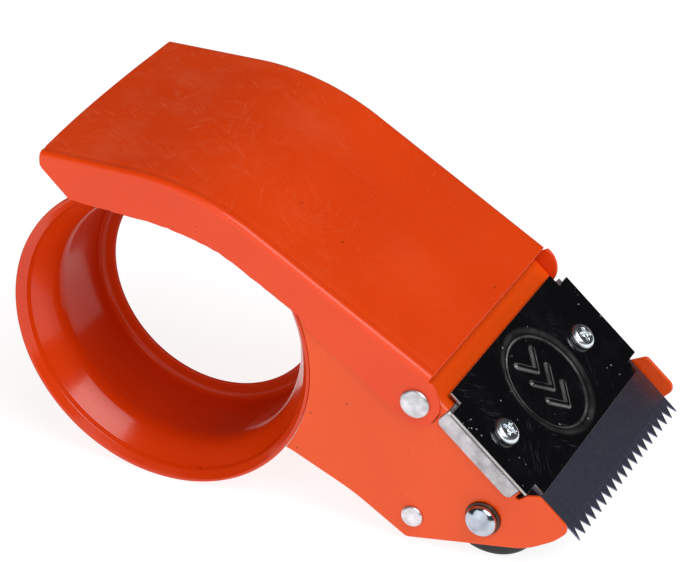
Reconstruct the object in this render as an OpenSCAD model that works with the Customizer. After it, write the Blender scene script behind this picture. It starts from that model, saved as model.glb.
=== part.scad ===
// Hand-held carton-tape dispenser, bent and riveted from painted sheet steel.
// +X runs forward to the blade, +Z is up, and -Y is the side that carries the tape hub.
// The origin is the middle of the hub's straight wall, on its axis. Sizes are in millimetres.

/* [Body] */
// width over the nose frame's two cheeks
frame_w = 75.4; // [60:0.1:90]
// thickness of the body sheet
sheet_t = 1; // [0.8:0.1:1.5]
// outer radius of the sheet's folds
fold_r = 1.8; // [1.2:0.1:3]

/* [Top cover] */
// height of the cover's flat rear above the hub axis
top_z = 48.1; // [44:0.1:60]
// how far behind the hub axis the cover reaches on the hub side
rear_near = 33.7; // [25:0.1:45]
// how far behind the hub axis the cover reaches on the open side
rear_far = 35.3; // [25:0.1:45]
// bow of the cover's rear edge
rear_bow = 1.4; // [0.5:0.1:4]
// where the flat rear ends and the curve begins
crown_x = -7; // [-20:0.5:10]
// radius of the cover's curve
crown_r = 70; // [50:1:120]
// slope of the cover's front, in degrees
slope_a = 30.4; // [20:0.1:45]
// length of the straight slope
slope_len = 59.1; // [40:0.1:80]
// depth of the hub-side flange at the rear
flange_d = 13.1; // [8:0.1:20]
// depth of the hub-side flange where the slope begins
flange_mid_d = 11.3; // [8:0.1:20]
// radius of the rounded ear around each cover rivet
ear_r = 6.8; // [5:0.1:10]
// depth of the narrow lip along the open side
far_lip = 2.6; // [1:0.1:6]

/* [Tape hub] */
// outer radius of the hub's straight wall, for a 76 mm tape core
core_r = 37.4; // [36:0.1:38]
// length of the straight wall
core_len = 21; // [15:0.5:30]
// outer radius of the narrow rim
rim_r = 44.4; // [43:0.1:50]
// inner radius of the step in the hub's mouth
step_r = 41.7; // [40:0.1:42.5]
// depth of the mouth, from the rim to the straight wall
flare_len = 10; // [9:0.5:15]
// inner radius of the turned-in end
lip_r = 31.9; // [25:0.1:34]

/* [Nose frame] */
// slope of the nose, in degrees
nose_a = 41.7; // [30:0.1:60]
// forward position of the clamp plate's upper edge
nose_x = 82.9; // [70:0.1:95]
// height of the clamp plate's upper edge
nose_z = 2.6; // [-5:0.1:10]
// radius of the opening that lets a tape roll in from the open side
loading_r = 53; // [50:0.5:58]

/* [Cutter] */
// thickness of the clamp plate
clamp_t = 0.8; // [0.5:0.1:1.5]
// thickness of the blade
blade_t = 0.5; // [0.3:0.1:1]
// thickness of the zinc-plated saddle
saddle_t = 0.8; // [0.5:0.1:1.5]
// width of the blade
blade_w = 70.4; // [50:0.1:80]
// distance of the tooth tips from the clamp plate's upper edge
tip_s = 51.6; // [45:0.1:60]
// depth of the teeth
tooth_d = 3.5; // [2:0.1:5]
// number of tooth spaces across the blade
tooth_n = 19; // [10:1:30]
// width of the clamp plate's wings
wing_w = 78.2; // [70:0.1:85]
// width of the clamp plate's two narrow ends
clamp_w = 67.4; // [50:0.1:80]
// thread diameter of the blade screws
screw_d = 4; // [3:0.5:5]
// offset of the hub-side screw from the middle plane
screw_near = -28.6; // [-33:0.1:-15]
// offset of the open-side screw from the middle plane
screw_far = 24.3; // [15:0.1:33]

/* [Roller and guide] */
// forward position of the roller axle
axle_x = 94.4; // [85:0.1:100]
// height of the roller axle
axle_z = -30.2; // [-40:0.1:-20]
// radius of the rubber roller
roller_r = 14.2; // [10:0.1:16]
// diameter of the axle bolt
axle_d = 6; // [5:0.5:8]
// forward position of the guide rod
guide_x = 74.3; // [65:0.1:80]
// height of the guide rod
guide_z = -35.4; // [-40:0.1:-25]
// diameter of the guide rod
guide_d = 5; // [4:0.5:6]
// running clearance on the radius of each turning piece
run_c = 0.08; // [0.02:0.01:0.1]

/* [Hidden] */

ORANGE = [0.86, 0.24, 0.05];
ZINC = [0.80, 0.80, 0.78];
STEEL = [0.25, 0.30, 0.36];
BLACK = [0.03, 0.03, 0.035];
CHROME = [0.85, 0.86, 0.88];
RUBBER = [0.05, 0.05, 0.05];

joint_gap = 0.1;                              // gap where two sheets meet edge to edge
rim_y = -core_len / 2 - flare_len;            // outer face of the hub rim and of the near cheek
far_y = rim_y + frame_w;                      // outer face of the far cheek
mid_y = rim_y + frame_w / 2;                  // middle plane of the body
cover_y = rim_y - sheet_t;                    // outer face of the cover's hub-side flange
cover_w = frame_w + 2 * sheet_t;
fold_zone = fold_r + 0.4;                     // width of the strip that holds a fold
lip_bend = 3;                                 // outer radius of the hub's turned-in end
nose_top = -clamp_t - blade_t - saddle_t;     // nose sheet's top, below the clamp plate's top
plate_rear = -18;                             // nose sheet's hidden end under the cover
plate_front = 22;                             // nose sheet's front end, clear of the roller
fold_front = 31;                              // where the cheeks' folds stop
ear_pos = [75.1, 0.1];                        // both cover rivets, and the hub-side ear
far_ear_pos = [76.5, 2.3];                    // middle of the open-side ear's round
big_head_r = 4.15;
small_head_r = 3.1;
head_t = 1.2;
tail_t = 1;
shank_c = 0.03;                               // clearance of a fixed shank in its hole
screw_s = 17.5;                               // screw line's distance from the clamp's edge
screw_head_r = 3.8;
screw_head_t = 2.3;
nut_t = 2.2;
axle_head_r = 4.4;
axle_head_t = 3.2;
washer_t = 0.8;
roller_end = 3.4;                             // roller's end, inside each cheek
core_out_r = 6;
$fn = 72;

function lerp(a, b, t) = a + (b - a) * t;
// a point u along the cover's slope and d below its outer face
function on_slope(u, d) = [
    crown_x + crown_r * sin(slope_a) + u * cos(slope_a) - d * sin(slope_a),
    top_z - crown_r * (1 - cos(slope_a)) - u * sin(slope_a) - d * cos(slope_a)];
// a point s down the nose and n above the clamp plate's top face
function on_nose(s, n) = [nose_x + s * cos(nose_a) + n * sin(nose_a),
                          nose_z - s * sin(nose_a) + n * cos(nose_a)];
// the arc that rounds corner b between a and c
function corner(a, b, c, r, n = 5) = r == 0 ? [b] :
    let (u = (a - b) / norm(a - b), v = (c - b) / norm(c - b), h = acos(u * v) / 2,
         m = b + (u + v) / norm(u + v) * r / sin(h), p = b + u * r / tan(h) - m,
         q = b + v * r / tan(h) - m)
    [for (i = [0:n]) let (w = lerp(p, q, i / n)) m + r * w / norm(w)];
// an outline of [x, z, radius] corners with each corner rounded
function rounded(list) = let (k = len(list), xy = [for (p = list) [p[0], p[1]]])
    [for (i = [0:k - 1]) each corner(xy[(i + k - 1) % k], xy[i], xy[(i + 1) % k], list[i][2])];
function with_r(p, r) = [p[0], p[1], r];

// an outline in the X-Z plane, made into a slab from y0 to y0 + t
module slab(y0, t) {
    translate([0, y0 + t, 0]) rotate([90, 0, 0]) linear_extrude(t) children();
}

// places children in the nose's own frame: X down the nose, Z out of it, Y from the middle
module at_nose() {
    translate([nose_x, mid_y, nose_z]) rotate([0, nose_a, 0]) children();
}

// a pin along +Y from y0, at p in the X-Z plane
module along_y(p, y0) {
    translate([p[0], y0, p[1]]) rotate([-90, 0, 0]) children();
}

module fold_outline(depth, w, r) {
    translate([-depth, 0]) square([depth - r, w]);
    translate([-depth, r]) square([depth, w - 2 * r]);
    for (y = [r, w - r]) translate([-r, y]) circle(r);
}

// section of a folded channel: X outwards, Y across, open towards -X
module channel_section(depth, w) {
    difference() {
        fold_outline(depth, w, fold_r);
        translate([-sheet_t, sheet_t])
            fold_outline(depth, w - 2 * sheet_t, fold_r - sheet_t);
    }
}

// a straight channel along +X with its outer face at z = 0
module channel(length, depth, w) {
    translate([length, 0, 0]) rotate([0, -90, 0]) linear_extrude(length)
        channel_section(depth, w);
}

/* ---- top cover ---- */

rear_reach = 50;
crown_n = 20;
front_corner = on_slope(slope_len, 0);
rear_chord = [rear_near - rear_far, cover_w];
rear_arc_r = (pow(norm(rear_chord) / 2, 2) + pow(rear_bow, 2)) / (2 * rear_bow);

function reverse(list) = [for (i = [len(list) - 1:-1:0]) list[i]];
// the cover's side profile d below its outer face, from rear to front
function profile(d) = concat([[-rear_reach, top_z - d]],
    [for (i = [0:crown_n]) let (a = slope_a * i / crown_n)
        [crown_x, top_z - crown_r] + (crown_r - d) * [sin(a), cos(a)]],
    [on_slope(slope_len, d)]);
// the round of an ear, from its front down and back to the line that leads to the heel
function ear_arc(c, heel, n = 14) =
    let (v = front_corner - c, w = heel - c,
         a0 = atan2(v[1], v[0]) - acos(ear_r / norm(v)),
         a1 = atan2(w[1], w[0]) + acos(ear_r / norm(w)) - 360)
    [for (i = [0:n]) let (a = lerp(a0, a1, i / n)) c + ear_r * [cos(a), sin(a)]];

module near_flange_outline() {
    heel = on_slope(26.3, 13.2);
    rear_heel = [-25.2, top_z - 12.1];        // foot of the slanted cut at the rear
    cut_end = [-rear_near - 2, top_z - 2];    // where that cut runs out, past the rear edge
    polygon(concat(profile(0), ear_arc(ear_pos, heel), [heel, on_slope(22.4, flange_mid_d)],
        reverse([for (i = [0:crown_n])
            let (a = slope_a * i / crown_n, d = lerp(flange_d, flange_mid_d, i / crown_n))
            [crown_x, top_z - crown_r] + (crown_r - d) * [sin(a), cos(a)]]),
        [rear_heel, cut_end, [-rear_reach, cut_end[1]]]));
}

module far_flange_outline() {
    heel = on_slope(slope_len - 16, far_lip);
    lip = profile(far_lip);
    polygon(concat(profile(0), ear_arc(far_ear_pos, heel), [heel],
        reverse([for (i = [0:crown_n + 1]) lip[i]])));
}

module top_cover() {
    color(ORANGE) difference() {
        intersection() {
            union() {
                slab(cover_y, cover_w) polygon(concat(profile(0), reverse(profile(sheet_t))));
                slab(cover_y, sheet_t) near_flange_outline();
                slab(far_y, sheet_t) far_flange_outline();
            }
            // the bowed and slightly skewed rear edge
            translate([-(rear_near + rear_far) / 2, mid_y, -rear_reach])
                rotate([0, 0, atan2(rear_far - rear_near, cover_w)])
                    translate([rear_arc_r - rear_bow, 0, 0])
                        cylinder(r = rear_arc_r, h = 3 * rear_reach, $fn = 180);
        }
        along_y(ear_pos, cover_y - 1) cylinder(r = 2.4 + shank_c, h = 3);
        along_y(ear_pos, far_y - 1) cylinder(r = 2.4 + shank_c, h = 3);
    }
}

/* ---- nose frame ---- */

cheek_top_d = 5;
relief_n = -4.6;                              // bottom of the notch where a cheek's fold stops
relief_s = 32;
tip_lap = 4;
// the front and belly of a cheek, from the tip back to the hub
belly = [with_r(on_nose(46.3, -5), 14), with_r(on_nose(43.7, -13.6), 20),
         [72.5, -42.6, 2.4], [57, -32.8, 60], [39.2, -24.9, 0.5], [30, -22, 0], [20, 20, 0]];

// the folded part of a cheek reaches above the nose sheet, which trims it
module cheek_outline(cut_r) {
    difference() {
        polygon(rounded(concat([with_r(on_slope(2, cheek_top_d), 0),
                                with_r(on_nose(plate_rear, nose_top - 4), 0),
                                with_r(on_nose(plate_rear, 3), 0), with_r(on_nose(46, 3), 0)],
                               belly)));
        circle(cut_r, $fn = 144);
    }
}

// the flat tip of a cheek; rise is how far it stands above the clamp plate
module tip_outline(rise) {
    intersection() {
        polygon(rounded(concat([with_r(on_nose(10, relief_n), 0),
                                with_r(on_nose(relief_s, relief_n), 0.3),
                                with_r(on_nose(relief_s + 0.6, nose_top + 0.4), 0.5),
                                with_r(on_nose(34.6, rise), 1.5),
                                with_r(on_nose(46.6, rise), 2.4)],
                               belly)));
        polygon([on_nose(fold_front - tip_lap, 10), on_nose(60, 10), on_nose(60, -50),
                 on_nose(fold_front - tip_lap, -50)]);
    }
}

module nose_frame() {
    hole_depth = 3;
    near_rise = 1.25;
    far_rise = 3.35;
    color(ORANGE) difference() {
        union() {
            intersection() {
                at_nose() translate([-80, -frame_w / 2, nose_top])
                    channel(80 + fold_front, 60, frame_w);
                union() {
                    slab(rim_y - 1, fold_zone + 1) cheek_outline(rim_r + joint_gap);
                    slab(rim_y + fold_zone - 0.5, frame_w - 2 * fold_zone + 1)
                        polygon([on_nose(plate_rear, 3), on_nose(plate_front, 3),
                                 on_nose(plate_front, -8), on_nose(plate_rear, -8)]);
                    slab(far_y - fold_zone, fold_zone + 1) cheek_outline(loading_r);
                }
            }
            slab(rim_y, sheet_t) tip_outline(near_rise);
            slab(far_y - sheet_t, sheet_t) tip_outline(far_rise);
        }
        along_y(ear_pos, rim_y - 1) cylinder(r = 2.4 + shank_c, h = hole_depth);
        along_y(ear_pos, far_y - 2) cylinder(r = 2.4 + shank_c, h = hole_depth);
        for (y = [rim_y - 1, far_y - 2]) {
            along_y([guide_x, guide_z], y) cylinder(r = guide_d / 2 + shank_c, h = hole_depth);
            along_y([axle_x, axle_z], y) cylinder(r = axle_d / 2 + shank_c, h = hole_depth);
        }
        at_nose() for (y = [screw_near, screw_far])
            translate([screw_s, y, -8]) cylinder(r = screw_d / 2 + 0.15, h = 10);
    }
}

/* ---- tape hub ---- */

// the mouth seen from outside: radius and depth of every bend behind the rim's face
mouth = [[rim_r + 5, 0], [rim_r - 0.7, 0], [step_r, 2.9], [step_r - 0.7, 5.8],
         [core_r - sheet_t, flare_len - 0.5], [core_r - sheet_t, 25]];
function side(a, b) = let (v = (b - a) / norm(b - a)) [v[1], -v[0]];
// the matching bend on the other face of the sheet
function behind(i) = let (m = side(mouth[i - 1], mouth[i]), n = side(mouth[i], mouth[i + 1]))
    mouth[i] + (m + n) * sheet_t / (1 + m * n);
function at_rim(p, r) = [p[0], rim_y + p[1], r];

module tape_hub() {
    end_y = core_len / 2 + lip_bend;
    color(ORANGE) rotate([-90, 0, 0]) rotate_extrude($fn = 144) polygon(rounded([
        [rim_r, rim_y, 0.3], [rim_r, rim_y + sheet_t, 0], at_rim(behind(1), 0),
        at_rim(behind(2), 0.6), at_rim(behind(3), 2.6), at_rim(behind(4), 0),
        [core_r, end_y, lip_bend], [lip_r, end_y, 0], [lip_r, end_y - sheet_t, 0],
        [core_r - sheet_t, end_y - sheet_t, lip_bend - sheet_t], at_rim(mouth[4], 2),
        at_rim(mouth[3], 1.6), at_rim(mouth[2], 1.6), at_rim(mouth[1], 0.6)]));
}

/* ---- cutter: saddle, blade, clamp plate and their screws ---- */

saddle_s = [2.8, 30.2];
saddle_w = frame_w + 2 * (saddle_t + joint_gap);
saddle_lip = 5;
module saddle_section() {
    difference() {
        fold_outline(saddle_lip, saddle_w, 1.2);
        translate([-saddle_t, saddle_t])
            fold_outline(saddle_lip, saddle_w - 2 * saddle_t, 0.4);
    }
}

module blade_saddle() {
    length = saddle_s[1] - saddle_s[0];
    lip_corner = 2;
    color(ZINC) at_nose() translate([saddle_s[0], 0, -clamp_t - blade_t]) difference() {
        intersection() {
            translate([length, -saddle_w / 2, 0]) rotate([0, -90, 0]) linear_extrude(length)
                saddle_section();
            translate([0, saddle_w, 0]) rotate([90, 0, 0]) linear_extrude(2 * saddle_w)
                polygon(rounded([[0, 1, 0], [0, -saddle_lip, lip_corner],
                                 [length, -saddle_lip, lip_corner], [length, 1, 0]]));
        }
        for (y = [screw_near, screw_far]) translate([screw_s - saddle_s[0], y, -2])
            cylinder(r = screw_d / 2 + 0.15, h = 4);
    }
}

blade_rear = 9;
blade_y = 0.9;                                // the blade sits a little to the open side
module cutter_blade() {
    pitch = blade_w / tooth_n;
    root_s = tip_s - tooth_d;
    color(STEEL) at_nose() translate([0, 0, -clamp_t - blade_t]) difference() {
        linear_extrude(blade_t) polygon(concat(
            [[blade_rear, blade_y + blade_w / 2], [blade_rear, blade_y - blade_w / 2]],
            [for (i = [0:2 * tooth_n])
                [i % 2 == 0 ? tip_s : root_s, blade_y - blade_w / 2 + i * pitch / 2]]));
        for (y = [screw_near, screw_far]) translate([screw_s, y, -1])
            cylinder(r = screw_d / 2 + 0.15, h = 3);
    }
}

wing_s = [3.8, 32];
clamp_end = 35.5;
emboss_h = 0.35;
emboss_pos = [17.9, 0.6];
// a raised ring with three chevrons that point to the blade
module emboss() {
    ring_r = 14.6;
    ring_w = 1;
    arm = 5;
    difference() {
        circle(ring_r);
        circle(ring_r - ring_w);
    }
    for (x = [-7, 0, 7]) for (m = [0, 1]) mirror([0, m])
        translate([x + 2, -0.3]) rotate(135) square([arm + 1, ring_w]);
}

module clamp_plate() {
    color(BLACK) at_nose() {
        translate([0, 0, -clamp_t]) difference() {
            linear_extrude(clamp_t) polygon(rounded([
                [0, -clamp_w / 2, 0.5], [wing_s[0], -clamp_w / 2, 0],
                [wing_s[0], -wing_w / 2, 0.6], [wing_s[1], -wing_w / 2, 0.6],
                [wing_s[1], -clamp_w / 2, 0], [clamp_end, -clamp_w / 2, 0.5],
                [clamp_end, clamp_w / 2, 0.5], [wing_s[1], clamp_w / 2, 0],
                [wing_s[1], wing_w / 2, 0.6], [wing_s[0], wing_w / 2, 0.6],
                [wing_s[0], clamp_w / 2, 0], [0, clamp_w / 2, 0.5]]));
            for (y = [screw_near, screw_far]) translate([screw_s, y, -1])
                cylinder(r = screw_d / 2 + 0.15, h = 3);
        }
        translate([emboss_pos[0], emboss_pos[1], 0]) linear_extrude(emboss_h) emboss();
    }
}

// a pan-head cross-recess screw, standing on the clamp plate
module blade_screw(y) {
    shank_end = nose_top - sheet_t - nut_t - 0.6;
    slot = [4.2, 0.9];
    edge_r = 1.2;
    color(ZINC) at_nose() translate([screw_s, y, 0]) {
        difference() {
            rotate_extrude() polygon(concat([[0, 0], [screw_head_r, 0]],
                [for (i = [0:5]) let (a = 90 * i / 5)
                    [screw_head_r - edge_r * (1 - cos(a)),
                     screw_head_t - edge_r + edge_r * sin(a)]],
                [[0, screw_head_t]]));
            for (a = [20, 110]) rotate([0, 0, a])
                translate([-slot[0] / 2, -slot[1] / 2, screw_head_t - 1.4])
                    cube([slot[0], slot[1], 2]);
        }
        translate([0, 0, shank_end]) cylinder(d = screw_d, h = 0.1 - shank_end);
    }
}

module blade_nut(y) {
    nut_af = 7;
    color(ZINC) at_nose() translate([screw_s, y, nose_top - sheet_t - nut_t]) difference() {
        rotate([0, 0, 30]) cylinder(d = nut_af / cos(30), h = nut_t, $fn = 6);
        translate([0, 0, -1]) cylinder(r = screw_d / 2 + shank_c, h = nut_t + 2);
    }
}

module blade_screw_near() { blade_screw(screw_near); }
module blade_screw_far() { blade_screw(screw_far); }
module blade_nut_near() { blade_nut(screw_near); }
module blade_nut_far() { blade_nut(screw_far); }

/* ---- rivets, guide rod and sleeve ---- */

// a formed head: flat with a rounded edge, growing along +Z
module rivet_head(r, t) {
    rotate_extrude() polygon([[0, 0], [r, 0], [r, t * 0.35], [r - t * 0.35, t * 0.8],
                              [r - t, t], [0, t]]);
}

module cover_rivet() {
    shank_l = 2 * sheet_t;
    rivet_head(big_head_r, head_t);
    translate([0, 0, -shank_l]) cylinder(r = 2.4, h = shank_l + 0.1);
    translate([0, 0, -shank_l - tail_t]) cylinder(r = 3.4, h = tail_t);
}

module cover_rivet_near() {
    color(ZINC) translate([ear_pos[0], cover_y, ear_pos[1]]) rotate([90, 0, 0]) cover_rivet();
}

module cover_rivet_far() {
    color(ZINC) translate([ear_pos[0], cover_y + cover_w, ear_pos[1]])
        rotate([-90, 0, 0]) cover_rivet();
}

module guide_rod() {
    color(ZINC) {
        along_y([guide_x, guide_z], rim_y) cylinder(d = guide_d, h = frame_w);
        along_y([guide_x, guide_z], far_y) rivet_head(small_head_r, head_t);
        translate([guide_x, rim_y, guide_z]) rotate([90, 0, 0]) rivet_head(small_head_r, head_t);
    }
}

sleeve_end = 1.6;
module guide_sleeve() {
    length = frame_w - 2 * sleeve_end;
    color(ZINC) along_y([guide_x, guide_z], rim_y + sleeve_end) difference() {
        cylinder(r = 4, h = length);
        translate([0, 0, -1]) cylinder(r = guide_d / 2 + run_c, h = length + 2);
    }
}

/* ---- roller, its core, spacers and axle bolt ---- */

axle_pos = [axle_x, axle_z];
axle_nut_t = 5;
nut_end = far_y + washer_t + axle_nut_t;
module roller_axle() {
    thread_past = 1.5;
    lift = rim_y - washer_t;
    dome_n = 8;
    color(CHROME) {
        along_y(axle_pos, lift - 0.1) cylinder(d = axle_d, h = nut_end + thread_past - lift);
        translate([axle_x, lift, axle_z]) rotate([90, 0, 0]) rotate_extrude()
            polygon(concat([[0, 0], [axle_head_r - 0.3, 0]],
                [for (i = [0:dome_n]) let (a = 90 * i / dome_n)
                    [axle_head_r * cos(a), 1.1 + (axle_head_t - 1.1) * sin(a)]]));
    }
}

module washer(r) {
    difference() {
        cylinder(r = r, h = washer_t);
        translate([0, 0, -1]) cylinder(r = axle_d / 2 + 0.1, h = washer_t + 2);
    }
}

module axle_head_washer() {
    color(BLACK) along_y(axle_pos, rim_y - washer_t) washer(4.9);
}

module axle_nut_washer() {
    color(ZINC) along_y(axle_pos, far_y) washer(6);
}

module axle_nut() {
    nut_af = 10;
    color(ZINC) along_y(axle_pos, far_y + washer_t) difference() {
        cylinder(d = nut_af / cos(30), h = axle_nut_t, $fn = 6);
        translate([0, 0, -1]) cylinder(r = axle_d / 2 + shank_c, h = axle_nut_t + 2);
    }
}

module roller_rubber() {
    length = frame_w - 2 * sheet_t - 2 * roller_end;
    edge = 1;
    color(RUBBER) along_y(axle_pos, rim_y + sheet_t + roller_end) rotate_extrude()
        polygon([[core_out_r, 0], [roller_r - edge, 0], [roller_r - 0.3, 0.3], [roller_r, edge],
                 [roller_r, length - edge], [roller_r - 0.3, length - 0.3],
                 [roller_r - edge, length], [core_out_r, length]]);
}

module roller_core() {
    past = 0.2;
    length = frame_w - 2 * sheet_t - 2 * roller_end + 2 * past;
    color(CHROME) along_y(axle_pos, rim_y + sheet_t + roller_end - past) difference() {
        cylinder(r = core_out_r, h = length);
        translate([0, 0, -1]) cylinder(r = axle_d / 2 + run_c, h = length + 2);
    }
}

spacer_l = roller_end - 0.5;
module roller_spacer() {
    difference() {
        cylinder(r = 5, h = spacer_l);
        translate([0, 0, -1]) cylinder(r = axle_d / 2 + 0.05, h = spacer_l + 2);
    }
}

module roller_spacer_near() {
    color(ZINC) along_y(axle_pos, rim_y + sheet_t) roller_spacer();
}

module roller_spacer_far() {
    color(ZINC) along_y(axle_pos, far_y - sheet_t - spacer_l) roller_spacer();
}

top_cover();
nose_frame();
tape_hub();
blade_saddle();
cutter_blade();
clamp_plate();
blade_screw_near();
blade_screw_far();
blade_nut_near();
blade_nut_far();
cover_rivet_near();
cover_rivet_far();
guide_rod();
guide_sleeve();
roller_axle();
axle_head_washer();
axle_nut_washer();
axle_nut();
roller_rubber();
roller_core();
roller_spacer_near();
roller_spacer_far();
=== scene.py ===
import math

import bmesh
import bpy
from mathutils import Matrix, Vector, noise


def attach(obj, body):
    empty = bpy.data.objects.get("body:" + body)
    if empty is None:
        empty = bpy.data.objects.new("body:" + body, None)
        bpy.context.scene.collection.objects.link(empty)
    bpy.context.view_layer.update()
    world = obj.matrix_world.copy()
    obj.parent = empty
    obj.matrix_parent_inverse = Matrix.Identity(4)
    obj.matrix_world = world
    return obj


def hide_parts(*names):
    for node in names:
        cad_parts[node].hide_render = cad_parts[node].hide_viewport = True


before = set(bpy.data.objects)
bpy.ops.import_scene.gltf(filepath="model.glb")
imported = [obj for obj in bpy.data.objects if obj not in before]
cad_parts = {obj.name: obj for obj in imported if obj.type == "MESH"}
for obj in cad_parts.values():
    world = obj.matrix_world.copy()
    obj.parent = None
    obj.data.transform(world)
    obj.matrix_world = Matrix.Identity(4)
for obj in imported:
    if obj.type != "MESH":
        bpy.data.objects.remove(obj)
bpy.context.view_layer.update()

# ---- Nose frame ----
# The nose is one blank of 1 mm steel sheet folded into two cheeks and a sloping plate, enamelled
# orange. The hub-side cheek runs back to the hub, the other stops short of it.
SHEET = 1.0
FRAME_W = 75.4
RIM_Y = -20.5
FAR_Y = RIM_Y + FRAME_W
MID_Y = RIM_Y + FRAME_W / 2
FOLD_R = 1.8
NOSE_ANGLE = math.radians(41.7)
NOSE_EDGE = (82.9, 2.6)
NOSE_TOP = -2.1
PLATE_REAR, PLATE_FRONT, FOLD_FRONT = -18.0, 22.0, 31.0
RIM_R = 44.4
LOADING_R = 53.0
CROWN = (-7.0, 48.1, 70.0)
SLOPE_ANGLE = math.radians(30.4)


def on_slope(u, d):
    """A point u along the cover's slope and d below its outer face, as x and z in mm."""
    x, top, r = CROWN
    s, c = math.sin(SLOPE_ANGLE), math.cos(SLOPE_ANGLE)
    return (x + r * s + u * c - d * s, top - r * (1 - c) - u * s - d * c)


def on_nose(s, n):
    """A point s down the nose and n above the clamp plate's face, as x and z in mm."""
    sa, ca = math.sin(NOSE_ANGLE), math.cos(NOSE_ANGLE)
    return (NOSE_EDGE[0] + s * ca + n * sa, NOSE_EDGE[1] - s * sa + n * ca)


def rounded(corners, steps=6):
    """The outline of (x, z, radius) corners, each corner replaced with its arc."""
    out = []
    for i, (x, z, r) in enumerate(corners):
        b = Vector((x, z))
        if r == 0:
            out.append(b)
            continue
        u = (Vector(corners[i - 1][:2]) - b).normalized()
        v = (Vector(corners[(i + 1) % len(corners)][:2]) - b).normalized()
        half = u.angle(v) / 2
        m = b + (u + v).normalized() * r / math.sin(half)
        p, q = b + u * r / math.tan(half) - m, b + v * r / math.tan(half) - m
        for k in range(steps + 1):
            out.append(m + p.lerp(q, k / steps).normalized() * r)
    return out


def make_piece(name, verts, faces, place=None):
    """A smooth-shaded mesh object from points in mm, with its place in its mesh."""
    mesh = bpy.data.meshes.new(name)
    place = place or Matrix()
    mesh.from_pydata([place @ Vector(v) * 0.001 for v in verts], [], faces)
    mesh.validate()
    mesh.polygons.foreach_set("use_smooth", [True] * len(mesh.polygons))
    obj = bpy.data.objects.new(name, mesh)
    bpy.context.collection.objects.link(obj)
    return obj


def merge_points(obj, reach=0.00002, outward=False):
    """Joins points that lie together, and can turn the faces of a closed shape outwards."""
    bm = bmesh.new()
    bm.from_mesh(obj.data)
    bmesh.ops.remove_doubles(bm, verts=bm.verts, dist=reach)
    if outward:
        bmesh.ops.recalc_face_normals(bm, faces=bm.faces)
    bm.to_mesh(obj.data)
    bm.free()


def bake(obj):
    """Turns the object's modifiers into its plain mesh."""
    dg = bpy.context.evaluated_depsgraph_get()
    mesh = bpy.data.meshes.new_from_object(obj.evaluated_get(dg), depsgraph=dg,
                                           preserve_all_data_layers=True)
    obj.modifiers.clear()
    obj.data = mesh
    mesh.name = obj.name


def finish_sheet(obj, thickness, edge):
    """Gives an outer skin its sheet thickness and a small round on every cut edge."""
    solid = obj.modifiers.new("thickness", "SOLIDIFY")
    solid.thickness = thickness * 0.001
    solid.offset = -1
    solid.use_even_offset = True
    round_edges(obj, edge)


def round_edges(obj, edge, segments=3, angle=50):
    """Rounds every edge sharper than the angle, and keeps flat faces looking flat."""
    bevel = obj.modifiers.new("edge", "BEVEL")
    bevel.width = edge * 0.001
    bevel.segments = segments
    bevel.limit_method = "ANGLE"
    bevel.angle_limit = math.radians(angle)
    bevel.use_clamp_overlap = False
    bevel.miter_outer = "MITER_ARC"
    weigh = obj.modifiers.new("normals", "WEIGHTED_NORMAL")
    weigh.weight = 60
    weigh.keep_sharp = True
    bake(obj)


# the belly runs from the tip's front down to its lowest corner and back up to the hub
LOW_CORNER, BELLY_REAR, HUB_SIDE, HUB_AIM = (72.5, -42.6), (57, -32.8), (39.2, -24.9), (30, -22)
BELLY = [(*on_nose(46.3, -5), 14), (*on_nose(43.7, -13.6), 20), (*LOW_CORNER, 2.4),
         (*BELLY_REAR, 60)]
RELIEF_N = -4.6


def cross_circle(a, b, r):
    """Where the line from a to b meets the circle of radius r round the hub axis."""
    a, b = Vector(a), Vector(b)
    lo, hi = 0.0, 1.0
    inside = a.length < r
    for _ in range(40):
        mid = (lo + hi) / 2
        if (a.lerp(b, mid).length < r) == inside:
            lo = mid
        else:
            hi = mid
    return a.lerp(b, lo)


def cheek_outline(rise, cut_r):
    """A cheek below its fold line, from the fold's front round the tip and belly to its rear."""
    tip = rounded([(*on_nose(FOLD_FRONT, RELIEF_N), 0), (*on_nose(32, RELIEF_N), 0.3),
                   (*on_nose(32.6, NOSE_TOP + 0.4), 0.5), (*on_nose(34.6, rise), 1.5),
                   (*on_nose(46.6, rise), 2.4), *BELLY, (*HUB_SIDE, 0)])
    start = cross_circle(HUB_SIDE, HUB_AIM, cut_r)
    if cut_r > RIM_R + 1:
        tip.pop()
        start = cross_circle(BELLY_REAR, HUB_AIM, cut_r)
        tip = [p for p in tip if p.length > cut_r]
    under_cover = on_nose(PLATE_REAR, NOSE_TOP - 4)
    end = cross_circle(on_slope(2, 5), under_cover, cut_r)
    a0, a1 = math.atan2(start.y, start.x), math.atan2(end.y, end.x)
    round_hub = [Vector((math.cos(a), math.sin(a))) * cut_r
                 for a in (a0 + (a1 - a0) * i / 40 for i in range(41))]
    return tip + round_hub + [Vector(under_cover)]


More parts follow.
